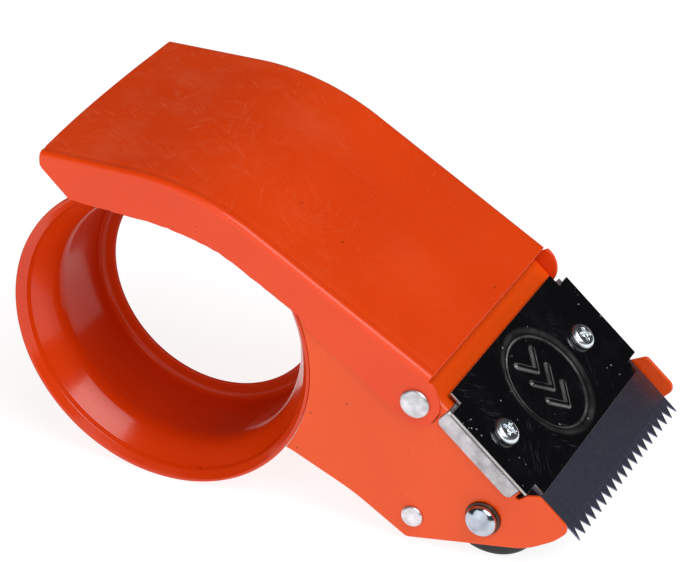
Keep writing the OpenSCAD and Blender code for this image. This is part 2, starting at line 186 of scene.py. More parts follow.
nose_verts, nose_faces = [], []
fold_s = [PLATE_REAR + i * 2.0 for i in range(21)] + [25.0, 28.0, FOLD_FRONT]
fold_steps = 6
FLAT_FROM = 2.2
across = [FLAT_FROM] + [FRAME_W * k / 10 for k in range(1, 10)] + [FRAME_W - FLAT_FROM]
section = [(0.0, NOSE_TOP - FOLD_R - 0.4)]
section += [(FOLD_R * (1 - math.cos(a)), NOSE_TOP - FOLD_R * (1 - math.sin(a)))
            for a in (math.pi / 2 * k / fold_steps for k in range(fold_steps + 1))]
flat = [(y, NOSE_TOP) for y in across]
section = section + flat + [(FRAME_W - y, n) for y, n in reversed(section)]
width = len(section)
for s in fold_s:
    for y, n in section:
        x, z = on_nose(s, n)
        nose_verts.append((x, RIM_Y + y, z))
first_flat, last_flat = fold_steps + 2, width - fold_steps - 3
for i in range(len(fold_s) - 1):
    for j in range(width - 1):
        if fold_s[i] >= PLATE_FRONT and first_flat <= j < last_flat:
            continue
        a = i * width + j
        nose_faces.append((a, a + width, a + width + 1, a + 1))
# the open side's tip stands higher and its cheek is cut back for a roll
NEAR_RISE, FAR_RISE = 1.25, 3.35
for y, rise, cut_r, column in ((RIM_Y, NEAR_RISE, RIM_R + 0.1, 0),
                               (FAR_Y, FAR_RISE, LOADING_R, width - 1)):
    loop = [i * width + column for i in range(len(fold_s))]
    for p in cheek_outline(rise, cut_r):
        loop.append(len(nose_verts))
        nose_verts.append((p.x, y, p.y))
    nose_faces.append(tuple(reversed(loop) if column == 0 else loop))
nose_frame = make_piece("nose_frame_sheet", nose_verts, nose_faces)
merge_points(nose_frame)
finish_sheet(nose_frame, SHEET, 0.28)


def shade(tree, kind, sockets=None, **settings):
    """Adds a shader node, with its settings, and its sockets set or linked."""
    n = tree.nodes.new(kind)
    for key, value in settings.items():
        setattr(n, key, value)
    for key, value in (sockets or {}).items():
        if isinstance(value, bpy.types.NodeSocket):
            tree.links.new(value, n.inputs[key])
        else:
            n.inputs[key].default_value = value
    return n


def new_finish(name):
    """A material with an empty surface shader, its tree and its object coordinates."""
    mat = bpy.data.materials.new(name)
    mat.use_nodes = True
    tree = mat.node_tree
    shader = tree.nodes["Principled BSDF"]
    coords = shade(tree, "ShaderNodeTexCoord").outputs["Object"]
    return mat, tree, shader, coords


def ramp(tree, value, low, high, from_value=0.0, to_value=1.0):
    """Maps value from low..high to from_value..to_value, clamped."""
    return shade(tree, "ShaderNodeMapRange", {0: value, 1: low, 2: high, 3: from_value,
                                              4: to_value}).outputs[0]


def mathn(tree, operation, a, b=0.0):
    return shade(tree, "ShaderNodeMath", {0: a, 1: b}, operation=operation).outputs[0]


def blend_colour(tree, factor, a, b):
    n = shade(tree, "ShaderNodeMix", {0: factor, 6: a, 7: b}, data_type="RGBA")
    return n.outputs[2]


def noise_of(tree, coords, scale, detail=2.0, rough=0.5, stretch=(1, 1, 1)):
    if stretch != (1, 1, 1):
        coords = shade(tree, "ShaderNodeMapping", {0: coords, 3: stretch}).outputs[0]
    return shade(tree, "ShaderNodeTexNoise", {"Vector": coords, "Scale": scale,
                                              "Detail": detail, "Roughness": rough}).outputs[0]


def hairlines(tree, coords, angle, seed, amount):
    """Straight broken hairline scratches that run one way across the X-Y plane."""
    lined = shade(tree, "ShaderNodeMapping", {0: coords, 1: (seed, -seed, 0), 2: (0, 0, angle),
                                              3: (0.006, 0.00026, 0.02)},
                  vector_type="TEXTURE").outputs[0]
    lined = shade(tree, "ShaderNodeTexNoise", {"Vector": lined, "Scale": 1.0, "Detail": 1.0,
                                               "Roughness": 0.4}).outputs[0]
    where = shade(tree, "ShaderNodeMapping", {0: coords, 1: (seed * 3, seed, seed)}).outputs[0]
    keep = ramp(tree, noise_of(tree, where, 60, 2), 0.62 - amount, 0.7 - amount)
    return mathn(tree, "MULTIPLY", ramp(tree, lined, 0.64, 0.72), keep)


def enamel(name, colour, deep, gloss, scuffs):
    """Enamel: slight colour drift, orange peel, dust specks and hairline scratches."""
    mat, tree, shader, coords = new_finish(name)
    drift = ramp(tree, noise_of(tree, coords, 28, 3), 0.3, 0.7)
    paint = blend_colour(tree, drift, deep, colour)
    pits = shade(tree, "ShaderNodeTexVoronoi", {"Vector": coords, "Scale": 210.0}).outputs[0]
    rare = ramp(tree, noise_of(tree, coords, 130), 0.62, 0.64)
    pits = mathn(tree, "MULTIPLY", ramp(tree, pits, 0.05, 0.09, 1.0, 0.0), rare)
    paint = blend_colour(tree, mathn(tree, "MULTIPLY", pits, 0.75), paint, (0.16, 0.012, 0.002, 1))
    peel = noise_of(tree, coords, 620, 1.5, 0.4)
    wave = noise_of(tree, coords, 95, 1.0, 0.4)
    height = mathn(tree, "ADD", mathn(tree, "MULTIPLY", peel, 0.35), wave)
    rough = ramp(tree, noise_of(tree, coords, 60, 4), 0.3, 0.75, gloss, gloss + 0.1)
    if scuffs:
        along, over = shade(tree, "ShaderNodeSeparateXYZ", {0: coords}).outputs[:2]
        rear = mathn(tree, "MULTIPLY", ramp(tree, along, 0.062, -0.01, 0.18, 1.0),
                     ramp(tree, over, -0.0198, -0.0180))
        lines = hairlines(tree, coords, 0.35, 0.31, 0.12)
        for angle, seed in ((-0.5, 0.83), (1.1, 1.27), (1.75, 2.09), (2.5, 0.57)):
            lines = mathn(tree, "MAXIMUM", lines, hairlines(tree, coords, angle, seed, 0.1))
        dust = shade(tree, "ShaderNodeTexVoronoi", {"Vector": coords, "Scale": 700.0}).outputs[0]
        dust = ramp(tree, dust, 0.1, 0.16, 1.0, 0.0)
        dust = mathn(tree, "MULTIPLY", dust, ramp(tree, noise_of(tree, coords, 55, 5), 0.54, 0.66))
        haze = ramp(tree, noise_of(tree, coords, 38, 6, 0.7), 0.48, 0.75, 0.0, 0.12)
        marks = mathn(tree, "MAXIMUM", mathn(tree, "MULTIPLY", lines, 0.23),
                      mathn(tree, "MULTIPLY", dust, 0.24))
        marks = mathn(tree, "MULTIPLY", mathn(tree, "MAXIMUM", marks, haze), rear)
        paint = blend_colour(tree, marks, paint, (0.87, 0.36, 0.2, 1))
        rough = mathn(tree, "ADD", rough, mathn(tree, "MULTIPLY", marks, 0.35))
        height = mathn(tree, "SUBTRACT", height, mathn(tree, "MULTIPLY", lines, 0.25))
    bump = shade(tree, "ShaderNodeBump", {"Strength": 0.16, "Distance": 0.0003, "Height": height})
    tree.links.new(bump.outputs[0], shader.inputs["Normal"])
    tree.links.new(paint, shader.inputs["Base Color"])
    tree.links.new(rough, shader.inputs["Roughness"])
    shader.inputs["Specular IOR Level"].default_value = 0.38
    shader.inputs["Coat Weight"].default_value = 0.08
    shader.inputs["Coat Roughness"].default_value = 0.06
    return mat


def dress(obj, mat, body, slot, *nodes):
    """Gives a finished piece its material and its body, and hides the CAD nodes it stands for. The
    slot is not used.
    """
    obj.data.materials.clear()
    obj.data.materials.append(mat)
    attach(obj, body)
    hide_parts(*nodes)


nose_enamel = enamel("orange_enamel_nose", (0.85, 0.082, 0.003, 1), (0.79, 0.070, 0.0025, 1),
                     0.2, False)
dress(nose_frame, nose_enamel, "dispenser", "nose_paint", "nose_frame")

# ---- Tape hub ----
# A steel cup without a floor: a flat rim behind the cover's flange, a flare, a straight wall for
# the cardboard core, and an end turned in. The straight wall and the turned-in end are assumed.
CORE_R, CORE_LEN, LIP_R, LIP_BEND = 37.4, 21.0, 31.9, 3.0
wall_end = CORE_LEN / 2
edge_r = 0.45


def arc(cx, cy, rx, ry, a0, a1, steps):
    return [(cx + rx * math.cos(math.radians(a)), cy + ry * math.sin(math.radians(a)))
            for a in (a0 + (a1 - a0) * i / steps for i in range(steps + 1))]


def lathe(name, profile, place, turns=192):
    """Turns a closed (radius, height) outline about the local Z axis."""
    verts, faces, k = [], [], len(profile)
    for t in range(turns):
        c, s = math.cos(2 * math.pi * t / turns), math.sin(2 * math.pi * t / turns)
        verts += [(r * c, r * s, h) for r, h in profile]
    for t in range(turns):
        a, b = t * k, (t + 1) % turns * k
        faces += [(a + i, b + i, b + (i + 1) % k, a + (i + 1) % k) for i in range(k)]
    obj = make_piece(name, verts, faces, place)
    merge_points(obj, 0.000002, outward=True)
    return obj


# local Z runs along +Y, towards the open side
ALONG_Y = Matrix.Rotation(math.radians(-90), 4, "X")
# the mouth: a narrow flat, a cone, a step and a second cone, as radius, depth and corner round
# Its bends are set by how they reflect, and lie up to 2.5 mm along the axis from the CAD's.
mouth = [(RIM_R + 5, 0, 0), (43.6, 0, 0.8), (41.8, 1.9, 0.7), (41.3, 3.3, 0.7),
         (CORE_R - SHEET, 10.8, 9.0), (CORE_R - SHEET, 25, 0)]
back = [(RIM_R + 5, 1.0, 0), (43.9, 1.0, 0.3), (42.7, 2.3, 1.4), (42.25, 3.6, 1.4),
        (CORE_R, 10.9, 1.0), (CORE_R, 25, 0)]


def mouth_line(corners):
    return [(p.x, RIM_Y + p.y) for p in rounded(corners, 8)[1:-1]]


hub_outer = (arc(RIM_R - edge_r, RIM_Y + edge_r, edge_r, edge_r, -90, 0, 4)
             + arc(RIM_R - edge_r, RIM_Y + SHEET - edge_r, edge_r, edge_r, 0, 60, 3)
             + mouth_line(back)
             + [(CORE_R, wall_end - k * 3.0) for k in range(5, 0, -1)]
             + arc(CORE_R - LIP_BEND, wall_end, LIP_BEND, LIP_BEND, 0, 90, 10)
             + arc(LIP_R + edge_r, wall_end + LIP_BEND - edge_r, edge_r, edge_r, 90, 180, 4))
hub_inner = (arc(LIP_R + edge_r, wall_end + LIP_BEND - SHEET + edge_r, edge_r, edge_r,
                 180, 270, 4)
             + arc(CORE_R - LIP_BEND, wall_end, LIP_BEND - SHEET, LIP_BEND - SHEET, 90, 0, 10)
             + [(CORE_R - SHEET, wall_end - k * 3.0) for k in range(1, 6)]
             + mouth_line(mouth)[::-1])
tape_hub = lathe("tape_hub_pressing", hub_outer + hub_inner, ALONG_Y)
hub_enamel = enamel("orange_enamel_hub", (0.70, 0.046, 0.002, 1), (0.62, 0.036, 0.0016, 1),
                    0.14, False)
# painted shade, not a real finish: from r 39.5 mm in to r 36.6 mm the enamel turns darker
# and less shiny, on the inside and the outside of the wall alike
tree = hub_enamel.node_tree
shader = tree.nodes["Principled BSDF"]
parts = shade(tree, "ShaderNodeSeparateXYZ", {
    0: shade(tree, "ShaderNodeTexCoord").outputs["Object"]}).outputs
from_axis = mathn(tree, "SQRT", mathn(tree, "ADD", mathn(tree, "POWER", parts[0], 2.0),
                                      mathn(tree, "POWER", parts[2], 2.0)))
inside = ramp(tree, from_axis, 0.0395, 0.0366)
outer_colour = shader.inputs["Base Color"].links[0].from_socket
# painted shade: the darker colour blended in over the hub's inner wall
tree.links.new(blend_colour(tree, mathn(tree, "MULTIPLY", inside, 0.45), outer_colour,
                            (0.40, 0.016, 0.001, 1)), shader.inputs["Base Color"])
tree.links.new(ramp(tree, inside, 0.0, 1.0, 0.38, 0.13), shader.inputs["Specular IOR Level"])
dress(tape_hub, hub_enamel, "dispenser", "hub_paint", "tape_hub")

# ---- Top cover ----
# The handle is a 1 mm sheet bent over a crown and folded down at both sides. The deep hub-side
# flange lies on the hub's rim, and each side ends in a rounded ear for a rivet. The open side's
# ear is assumed.
COVER_Y, COVER_W = RIM_Y - SHEET, FRAME_W + 2 * SHEET
REAR_NEAR, REAR_FAR, REAR_BOW = -33.7, -35.3, 1.4
SLOPE_LEN, FLANGE_D, FLANGE_MID_D, FAR_LIP, EAR_R = 59.1, 13.1, 11.3, 2.6, 6.8
REAR_CUT, REAR_SLANT = 3.9, 1.04
PINCH, PINCH_FRONT, PINCH_LEN = 1.0, 30, 65
BAR_LINE_Y, BAR_LINE_D, BAR_LINE_W = 3.5, 0.16, 0.8
EARS = ((75.1, 0.1), (76.5, 2.3))
# the hub-side ear is centred on its rivet, and the other rivet is on the same line across
RIVET = EARS[0]


def in_slope(p):
    """The (u, d) of an (x, z) point, the inverse of on_slope."""
    o = Vector(on_slope(0, 0))
    v = Vector(p) - o
    s, c = math.sin(SLOPE_ANGLE), math.cos(SLOPE_ANGLE)
    return v.x * c - v.y * s, -v.x * s - v.y * c


def tangent(p, c, r, side):
    """The point where the line from p touches the circle c, r."""
    v = Vector(p) - Vector(c)
    a = math.atan2(v.y, v.x) + side * math.acos(r / v.length)
    return c[0] + r * math.cos(a), c[1] + r * math.sin(a)


def ear_span(u, ear, heel, heel_d):
    """The flange's top and bottom depth at u along the slope, ear included."""
    cu, cd = ear
    low = tangent(heel, ear, EAR_R, -1)
    if u <= heel[0]:
        return FOLD_R, heel_d(u)
    if u < low[0]:
        bottom = heel[1] + (low[1] - heel[1]) * (u - heel[0]) / (low[0] - heel[0])
    else:
        bottom = cd + math.sqrt(max(EAR_R ** 2 - (u - cu) ** 2, 0))
    if u <= SLOPE_LEN:
        return FOLD_R, bottom
    crest = cd - math.sqrt(max(EAR_R ** 2 - (u - cu) ** 2, 0))
    corner = (SLOPE_LEN, FOLD_R * 0.4)
    if math.dist(corner, ear) <= EAR_R:
        return crest, bottom
    high = tangent(corner, ear, EAR_R, 1)
    if u >= high[0]:
        return crest, bottom
    return corner[1] + (high[1] - corner[1]) * (u - SLOPE_LEN) / (high[0] - SLOPE_LEN), bottom


# the flange is narrowest up to STEP_U, and is back to its full depth at the heel
STEP_U, HEEL = 22.4, (26.3, 13.2)


def near_depth(u):
    if u <= STEP_U:
        return FLANGE_MID_D
    return FLANGE_MID_D + (HEEL[1] - FLANGE_MID_D) * (u - STEP_U) / (HEEL[0] - STEP_U)


near_ear, far_ear = in_slope(EARS[0]), in_slope(EARS[1])
near_heel, far_heel = HEEL, (SLOPE_LEN - 16, FAR_LIP)
flat_n, crown_n = 20, 22
slope_u = [SLOPE_LEN * i / 38 for i in range(1, 39)]
near_rows, far_rows = 12, 5
top_y = ([2.3, 2.9, 3.5, 4.2, 5.0] + [COVER_W * k / 26 for k in range(2, 26)]
         + [COVER_W - 2.3])
stations = ([("flat", i / flat_n) for i in range(flat_n + 1)]
            + [("crown", i / crown_n) for i in range(1, crown_n + 1)]
            + [("slope", u) for u in slope_u])


def weld_dent(x, z):
    """Depth of the round marks, taken as spot welds, and the ripples along the hub's rim."""
    depth = 0.0
    for deg in (118, 100, 84, 71, 58):
        gap = math.hypot(x - 42.4 * math.cos(math.radians(deg)),
                         z - 42.4 * math.sin(math.radians(deg)))
        depth += 0.22 * math.exp(-(gap / 1.7) ** 2)
    ripple = noise.noise(Vector((x * 0.42, z * 0.5, 3.1)))
    near_edge = math.exp(-((math.hypot(x, z) - 36.5) / 3.5) ** 2)
    return depth + max(ripple, 0) * 0.75 * near_edge + 0.02


def ragged(x):
    """How far the flange's lower edge wanders, under a quarter of a millimetre."""
    return 0.22 * noise.noise(Vector((x * 0.45, 0.0, 7.7)))


def cover_point(kind, t, y, d):
    """A point of the cover's outer skin: y across from the hub side, d below the top face."""
    x0, top, r = CROWN
    if kind == "flat":
        v = y / COVER_W
        rear = REAR_NEAR + (REAR_FAR - REAR_NEAR) * v - 4 * REAR_BOW * v * (1 - v)
        if y == 0 and d > REAR_CUT:
            rear += (d - REAR_CUT) * REAR_SLANT
        return rear + (x0 - rear) * t, top - d
    if kind == "crown":
        a = SLOPE_ANGLE * t
        return x0 + (r - d) * math.sin(a), top - r + (r - d) * math.cos(a)
    return on_slope(t, d)


cover_verts, cover_faces = [], []


def add_skin_point(kind, t, y, d):
    x, z = cover_point(kind, t, y, d)
    side = y
    if y == 0:
        side = weld_dent(x, z)
    elif d == 0 and 2 < y < COVER_W - 2:
        sag = noise.noise(Vector((x * 0.03, y * 0.035, 1.3))) * 0.5 + 0.5
        edge_fade = min((y - 2) / 8, (COVER_W - 2 - y) / 8, 1)
        z -= 0.28 * sag * max(edge_fade, 0)
        # a shallow line beside the hub-side fold
        z -= BAR_LINE_D * math.exp(-((y - BAR_LINE_Y) / BAR_LINE_W) ** 2)
    # the open side draws in a little toward the rear
    side -= PINCH * min(max((PINCH_FRONT - x) / PINCH_LEN, 0), 1) * y / COVER_W
    cover_verts.append((x, COVER_Y + side, z))


columns = near_rows + fold_steps + 1 + len(top_y) + fold_steps + 1 + far_rows
for kind, t in stations:
    if kind == "flat":
        near_d, far_d = FLANGE_D - 1.05 * (1 - t), FAR_LIP
    elif kind == "crown":
        near_d, far_d = FLANGE_D + (FLANGE_MID_D - FLANGE_D) * t ** 2, FAR_LIP
    else:
        near_d = ear_span(t, near_ear, near_heel, near_depth)[1]
        far_d = ear_span(t, far_ear, far_heel, lambda u: FAR_LIP)[1]
    x_here = cover_point(kind, t, 0, near_d)[0]
    near_d += ragged(x_here) if near_d > 8 else 0
    for k in range(near_rows, 0, -1):
        add_skin_point(kind, t, 0, FOLD_R + (near_d - FOLD_R) * k / near_rows)
    for k in range(fold_steps + 1):
        a = math.pi / 2 * k / fold_steps
        add_skin_point(kind, t, max(FOLD_R * (1 - math.cos(a)), 1e-4), FOLD_R * (1 - math.sin(a)))
    for y in top_y:
        add_skin_point(kind, t, y, 0)
    for k in range(fold_steps, -1, -1):
        a = math.pi / 2 * k / fold_steps
        add_skin_point(kind, t, COVER_W - FOLD_R * (1 - math.cos(a)), FOLD_R * (1 - math.sin(a)))
    for k in range(1, far_rows + 1):
        add_skin_point(kind, t, COVER_W, FOLD_R + (far_d - FOLD_R) * k / far_rows)
for i in range(len(stations) - 1):
    for j in range(columns - 1):
        a = i * columns + j
        cover_faces.append((a, a + columns, a + columns + 1, a + 1))
last = (len(stations) - 1) * columns
for ear, heel, rows, base, side, flip in (
        (near_ear, near_heel, near_rows, last + near_rows, 0, False),
        (far_ear, far_heel, far_rows, last + columns - far_rows - 1, COVER_W, True)):
    u_end = ear[0] + EAR_R
    us = [SLOPE_LEN + (u_end - SLOPE_LEN) * math.sin(math.pi / 2 * k / 12) for k in range(1, 13)]
    # the seam row runs from the fold down to the flange's lower edge
    row = [base - k if not flip else base + k for k in range(rows + 1)]
    for u in us:
        top, bottom = ear_span(u, ear, heel, near_depth)
        fresh = []
        for k in range(rows + 1):
            fresh.append(len(cover_verts))
            x, z = on_slope(u, top + (bottom - top) * k / rows)
            cover_verts.append((x, COVER_Y + side, z))
        for k in range(rows):
            quad = (row[k], row[k + 1], fresh[k + 1], fresh[k])
            cover_faces.append(tuple(reversed(quad)) if flip else quad)
        row = fresh
top_cover = make_piece("top_cover_sheet", cover_verts, cover_faces)
merge_points(top_cover, 0.00004)
finish_sheet(top_cover, SHEET, 0.26)
cover_enamel = enamel("orange_enamel_cover", (0.83, 0.060, 0.003, 1), (0.77, 0.051, 0.0025, 1),
                      0.27, True)
dress(top_cover, cover_enamel, "dispenser", "cover_paint", "top_cover")

# ---- Guide rod and its sleeve ----
# A 5 mm steel rod riveted over at both cheeks keeps the tape low. The steel tube that turns on
# it, for the tape to roll past, is assumed.
GUIDE = (74.3, -35.4)
ROD_R, SLEEVE_R, SLEEVE_GAP = 2.5, 4.0, 1.6
HEAD_T = 1.2


def at_y(p, y):
    """Places local Z along +Y at the (x, z) point p, starting from y."""
    return Matrix.Translation((p[0], y, p[1])) @ ALONG_Y


def metal(name, colour, rough, grain=(1, 1, 1), grain_scale=900.0, grain_depth=0.1, stain=0.12):
    """Bare or plated metal: a grain along one direction, faint stains and uneven gloss."""
    mat, tree, shader, coords = new_finish(name)
    shader.inputs["Metallic"].default_value = 1.0
    lines = noise_of(tree, coords, grain_scale, 3, 0.6, grain)
    cloud = noise_of(tree, coords, 140, 4, 0.6)
    dark = tuple(c * (1 - stain * 2.4) for c in colour[:3]) + (1,)
    tone = mathn(tree, "ADD", mathn(tree, "MULTIPLY", lines, 0.45),
                 mathn(tree, "MULTIPLY", cloud, 0.55))
    tree.links.new(blend_colour(tree, ramp(tree, tone, 0.35, 0.62), dark, colour),
                   shader.inputs["Base Color"])
    tree.links.new(ramp(tree, tone, 0.3, 0.7, rough + 0.1, rough - 0.04),
                   shader.inputs["Roughness"])
    bump = shade(tree, "ShaderNodeBump", {"Strength": grain_depth, "Distance": 0.0001,
                                          "Height": lines})
    tree.links.new(bump.outputs[0], shader.inputs["Normal"])
    return mat


def head_profile(r, t):
    """A hammered rivet head: a flat crown with a rounded shoulder."""
    return [(0.0, t)] + [(r - t * 1.1 + t * 1.1 * math.sin(a), t * (0.25 + 0.75 * math.cos(a)))
                         for a in (math.pi / 2 * k / 8 for k in range(1, 9))] + [(r, 0.0)]


rod_profile = ([(0.0, -HEAD_T)]
               + [(r, -h) for r, h in head_profile(3.1, HEAD_T)[1:]]
               + [(ROD_R, 0.0), (ROD_R, FRAME_W)]
               + [(r, FRAME_W + h) for r, h in reversed(head_profile(3.1, HEAD_T))])
guide_rod = lathe("guide_rod_rivet", rod_profile, at_y(GUIDE, RIM_Y), 48)
rivet_alu = metal("hammered_aluminium", (0.90, 0.90, 0.94, 1), 0.34, (1, 1, 1), 330.0, 0.8, 0.2)
dress(guide_rod, rivet_alu, "dispenser", "rod_steel", "guide_rod")

sleeve_len = FRAME_W - 2 * SLEEVE_GAP
sleeve = lathe("guide_sleeve_tube", [
    (ROD_R + 0.08, 0.25), (ROD_R + 0.3, 0.0), (SLEEVE_R - 0.3, 0.0), (SLEEVE_R - 0.08, 0.08),
    (SLEEVE_R, 0.3), (SLEEVE_R, sleeve_len - 0.3), (SLEEVE_R - 0.08, sleeve_len - 0.08),
    (SLEEVE_R - 0.3, sleeve_len), (ROD_R + 0.3, sleeve_len), (ROD_R + 0.08, sleeve_len - 0.25)],
    at_y(GUIDE, RIM_Y + SLEEVE_GAP), 64)
tube_steel = metal("drawn_steel_tube", (0.62, 0.62, 0.64, 1), 0.26, (1, 0.04, 1), 1400.0, 0.15)
dress(sleeve, tube_steel, "sleeve", "sleeve_steel", "guide_sleeve")

# ---- Roller, core, spacers and axle bolt ----
# A black rubber tyre on a steel tube turns on a dome-head bolt through both cheeks, with a dark
# washer under its head. The bolt's 6 mm shank, the tube, the spacers, and the plated washer and
# hexagon nut on the open side are assumed.
AXLE = (94.4, -30.2)
AXLE_R, ROLLER_R, CORE_OUT_R, ROLLER_GAP = 3.0, 14.2, 6.0, 3.4
WASHER_T, NUT_T = 0.8, 5.0
roller_len = FRAME_W - 2 * SHEET - 2 * ROLLER_GAP
roller_start = RIM_Y + SHEET + ROLLER_GAP
tread = []
groove_n = 9
for k in range(groove_n):
    h = roller_len * (k + 1) / (groove_n + 1)
    tread += [(ROLLER_R, h - 0.5), (ROLLER_R - 0.1, h - 0.36), (ROLLER_R - 0.35, h - 0.2),
              (ROLLER_R - 0.35, h + 0.2), (ROLLER_R - 0.1, h + 0.36), (ROLLER_R, h + 0.5)]
rubber_profile = ([(CORE_OUT_R, 0.0), (CORE_OUT_R + 1.2, 0.0), (CORE_OUT_R + 1.6, 0.3),
                   (ROLLER_R - 2.2, 0.3), (ROLLER_R - 1.8, 0.0)]
                  + arc(ROLLER_R - 1.0, 1.0, 1.0, 1.0, -90, 0, 6) + tread
                  + arc(ROLLER_R - 1.0, roller_len - 1.0, 1.0, 1.0, 0, 90, 6)
                  + [(ROLLER_R - 1.8, roller_len), (ROLLER_R - 2.2, roller_len - 0.3),
                     (CORE_OUT_R + 1.6, roller_len - 0.3), (CORE_OUT_R + 1.2, roller_len),
                     (CORE_OUT_R, roller_len)])
roller = lathe("roller_rubber_tyre", rubber_profile, at_y(AXLE, roller_start), 128)
rubber, tree, shader, coords = new_finish("black_rubber")
dusty = ramp(tree, noise_of(tree, coords, 160, 5, 0.7), 0.45, 0.75)
tree.links.new(blend_colour(tree, dusty, (0.012, 0.012, 0.013, 1), (0.05, 0.047, 0.045, 1)),
               shader.inputs["Base Color"])
tree.links.new(ramp(tree, dusty, 0.0, 1.0, 0.42, 0.7), shader.inputs["Roughness"])
grain = noise_of(tree, coords, 2400, 2)
tree.links.new(shade(tree, "ShaderNodeBump", {"Strength": 0.25, "Distance": 0.0001,
                                              "Height": grain}).outputs[0],
               shader.inputs["Normal"])
dress(roller, rubber, "roller", "roller_rubber", "roller_rubber")

core_len, core_bore = roller_len + 0.4, AXLE_R + 0.08
core = lathe("roller_core_tube", [
    (core_bore, 0.3), (core_bore + 0.3, 0.0), (CORE_OUT_R - 0.25, 0.0), (CORE_OUT_R, 0.25),
    (CORE_OUT_R, core_len - 0.25), (CORE_OUT_R - 0.25, core_len), (core_bore + 0.3, core_len),
    (core_bore, core_len - 0.3)], at_y(AXLE, roller_start - 0.2), 64)
dress(core, tube_steel, "roller", "core_steel", "roller_core")

bolt_end = FRAME_W + WASHER_T + NUT_T + 1.35
bolt_profile = ([(0.0, -WASHER_T - 3.2)]
                + [(4.4 * math.sin(a), -WASHER_T - 1.0 - 2.2 * math.cos(a))
                   for a in (math.pi / 2 * k / 14 for k in range(1, 15))]
                + [(4.4, -WASHER_T - 0.35), (4.25, -WASHER_T - 0.1), (4.0, -WASHER_T),
                   (AXLE_R, -WASHER_T), (AXLE_R, FRAME_W - 4)])
thread_h = FRAME_W - 3.6
while thread_h < bolt_end - 1.0:
    bolt_profile += [(AXLE_R, thread_h), (AXLE_R - 0.35, thread_h + 0.5)]
    thread_h += 1.0
bolt_profile += [(AXLE_R - 0.2, bolt_end - 0.6), (AXLE_R - 0.8, bolt_end), (0.0, bolt_end)]
axle = lathe("axle_dome_bolt", bolt_profile, at_y(AXLE, RIM_Y), 64)
bright_plate = metal("bright_nickel_plate", (0.60, 0.66, 0.76, 1), 0.14, (1, 1, 1), 260.0, 0.2,
                     0.2)
dress(axle, bright_plate, "dispenser", "axle_chrome", "roller_axle")


def ring(r_in, r_out, t, edge=0.12):
    """The outline of a washer or short tube with lightly broken edges."""
    return [(r_in, edge), (r_in + edge, 0.0), (r_out - edge, 0.0), (r_out, edge),
            (r_out, t - edge), (r_out - edge, t), (r_in + edge, t), (r_in, t - edge)]


head_washer = lathe("axle_head_washer_ring", ring(AXLE_R + 0.1, 4.9, WASHER_T),
                    at_y(AXLE, RIM_Y - WASHER_T), 64)
dark_oxide = metal("dark_oxide", (0.13, 0.075, 0.06, 1), 0.45, (1, 1, 1), 500.0, 0.2, 0.2)
dress(head_washer, dark_oxide, "dispenser", "dark_washer", "axle_head_washer")
zinc_dull = metal("zinc_plate", (0.68, 0.68, 0.66, 1), 0.34, (1, 1, 1), 380.0, 0.2, 0.14)
nut_washer = lathe("axle_nut_washer_ring", ring(AXLE_R + 0.1, 6.0, WASHER_T),
                   at_y(AXLE, FAR_Y), 64)
dress(nut_washer, zinc_dull, "dispenser", "zinc_nut", "axle_nut_washer")
spacer_len = ROLLER_GAP - 0.5
for end, y in (("near", RIM_Y + SHEET), ("far", FAR_Y - SHEET - spacer_len)):
    spacer = lathe("roller_spacer_%s_tube" % end, ring(AXLE_R + 0.05, 5.0, spacer_len),
                   at_y(AXLE, y), 64)
    dress(spacer, zinc_dull, "dispenser", "zinc_nut", "roller_spacer_" + end)


def hexagon_nut(name, across_flats, bore, t, place):
    """A hexagon nut: the corners are turned off to a cone at both faces."""
    rings, per = [], 48
    face_r = across_flats / 2 * 0.95
    for h, limit in ((0.0, face_r), (t * 0.12, 99.0), (t * 0.88, 99.0), (t, face_r)):
        loop = []
        for i in range(per):
            a = 2 * math.pi * i / per
            off = (a + math.pi / 6) % (math.pi / 3) - math.pi / 6
            hexa = across_flats / 2 / math.cos(off)
            loop.append((min(hexa, limit) * math.cos(a), min(hexa, limit) * math.sin(a), h))
        rings.append(loop)
    for h, r in ((t, bore + 0.35), (t - 0.35, bore), (0.35, bore), (0.0, bore + 0.35)):
        rings.append([(r * math.cos(2 * math.pi * i / per), r * math.sin(2 * math.pi * i / per),
                       h) for i in range(per)])
    verts = [v for loop in rings for v in loop]
    faces = [(k * per + i, k * per + (i + 1) % per,
              (k + 1) % len(rings) * per + (i + 1) % per, (k + 1) % len(rings) * per + i)
             for k in range(len(rings)) for i in range(per)]
    obj = make_piece(name, verts, faces, place)
    merge_points(obj, 0.000002, outward=True)
    obj.data.set_sharp_from_angle(angle=math.radians(24))
    return obj


axle_nut = hexagon_nut("axle_hexagon_nut", 10.0, AXLE_R + 0.03, NUT_T,
                       at_y(AXLE, FAR_Y + WASHER_T))
dress(axle_nut, zinc_dull, "dispenser", "zinc_nut", "axle_nut")

# ---- Saddle under the blade ----
# A zinc-plated steel strip lies across the nose sheet, and a lip folded down each cheek keeps
# it square. The plating is dull, with streaks along the nose and down the lips.
AT_NOSE = (Matrix.Translation((NOSE_EDGE[0], MID_Y, NOSE_EDGE[1]))
           @ Matrix.Rotation(NOSE_ANGLE, 4, "Y"))
CLAMP_T, BLADE_T, SADDLE_T = 0.8, 0.5, 0.8
SADDLE_S = (2.8, 30.2)
SADDLE_HALF = FRAME_W / 2 + SADDLE_T + 0.1
SADDLE_LIP, SADDLE_FOLD = 5.0, 1.2
saddle_top = -CLAMP_T - BLADE_T
saddle_verts, saddle_faces = [], []
lip_r = 2.0
saddle_s = [lip_r * (1 - math.cos(math.pi / 2 * k / 6)) for k in range(7)]
length = SADDLE_S[1] - SADDLE_S[0]
saddle_s = saddle_s + [length * k / 8 for k in range(1, 8)] + [length - s for s in
                                                              reversed(saddle_s)]
half_section = 5
